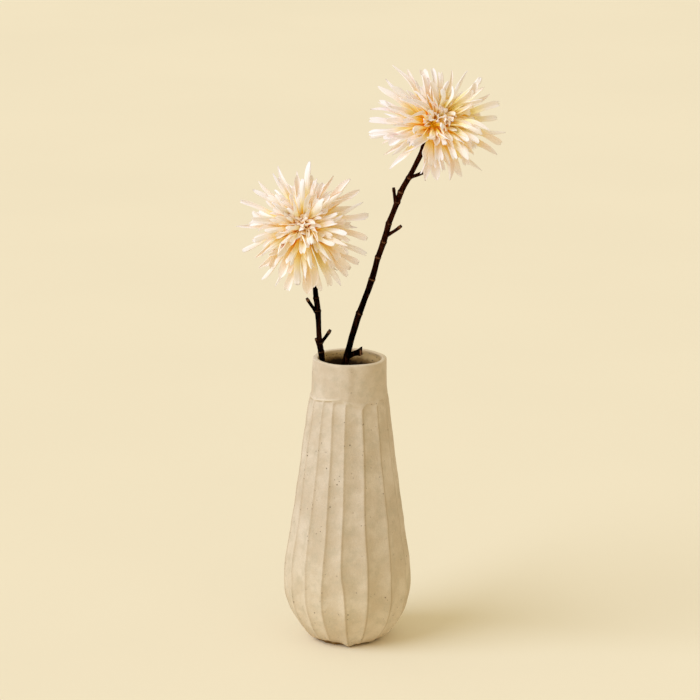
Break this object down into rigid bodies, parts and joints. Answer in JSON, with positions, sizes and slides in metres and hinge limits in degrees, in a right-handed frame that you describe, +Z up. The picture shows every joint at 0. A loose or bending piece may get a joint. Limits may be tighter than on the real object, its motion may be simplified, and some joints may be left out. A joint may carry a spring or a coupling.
{
  "type": "dahlia in vase",
  "caption": "Cream dahlias on bare woody stems, standing in a tall fluted stoneware vase with a smooth round collar.",
  "frame": {"origin": "centre of the vase's flat underside, at table height", "axes": "+Z up along the vase, +X to the viewer's right, +Y away from the viewer"},
  "size_m": [0.241, 0.1646, 0.5533],
  "materials": {
    "stoneware": "matte",
    "wood": "satin",
    "receptacle": "matte",
    "petal": "matte"
  },
  "bodies": {
    "root": {"vase": "stoneware", "low_stem": "wood", "high_stem": "wood", "low_receptacle": "receptacle", "low_florets_01": "petal", "low_florets_02": "petal", "low_florets_03": "petal", "low_florets_04": "petal", "low_florets_05": "petal", "low_florets_06": "petal", "low_florets_07": "petal", "low_florets_08": "petal", "low_florets_09": "petal", "low_florets_10": "petal", "low_florets_11": "petal", "high_receptacle": "receptacle", "high_florets_01": "petal", "high_florets_02": "petal", "high_florets_03": "petal", "high_florets_04": "petal", "high_florets_05": "petal", "high_florets_06": "petal", "high_florets_07": "petal", "high_florets_08": "petal", "high_florets_09": "petal", "high_florets_10": "petal", "high_florets_11": "petal"}
  },
  "joints": []
}
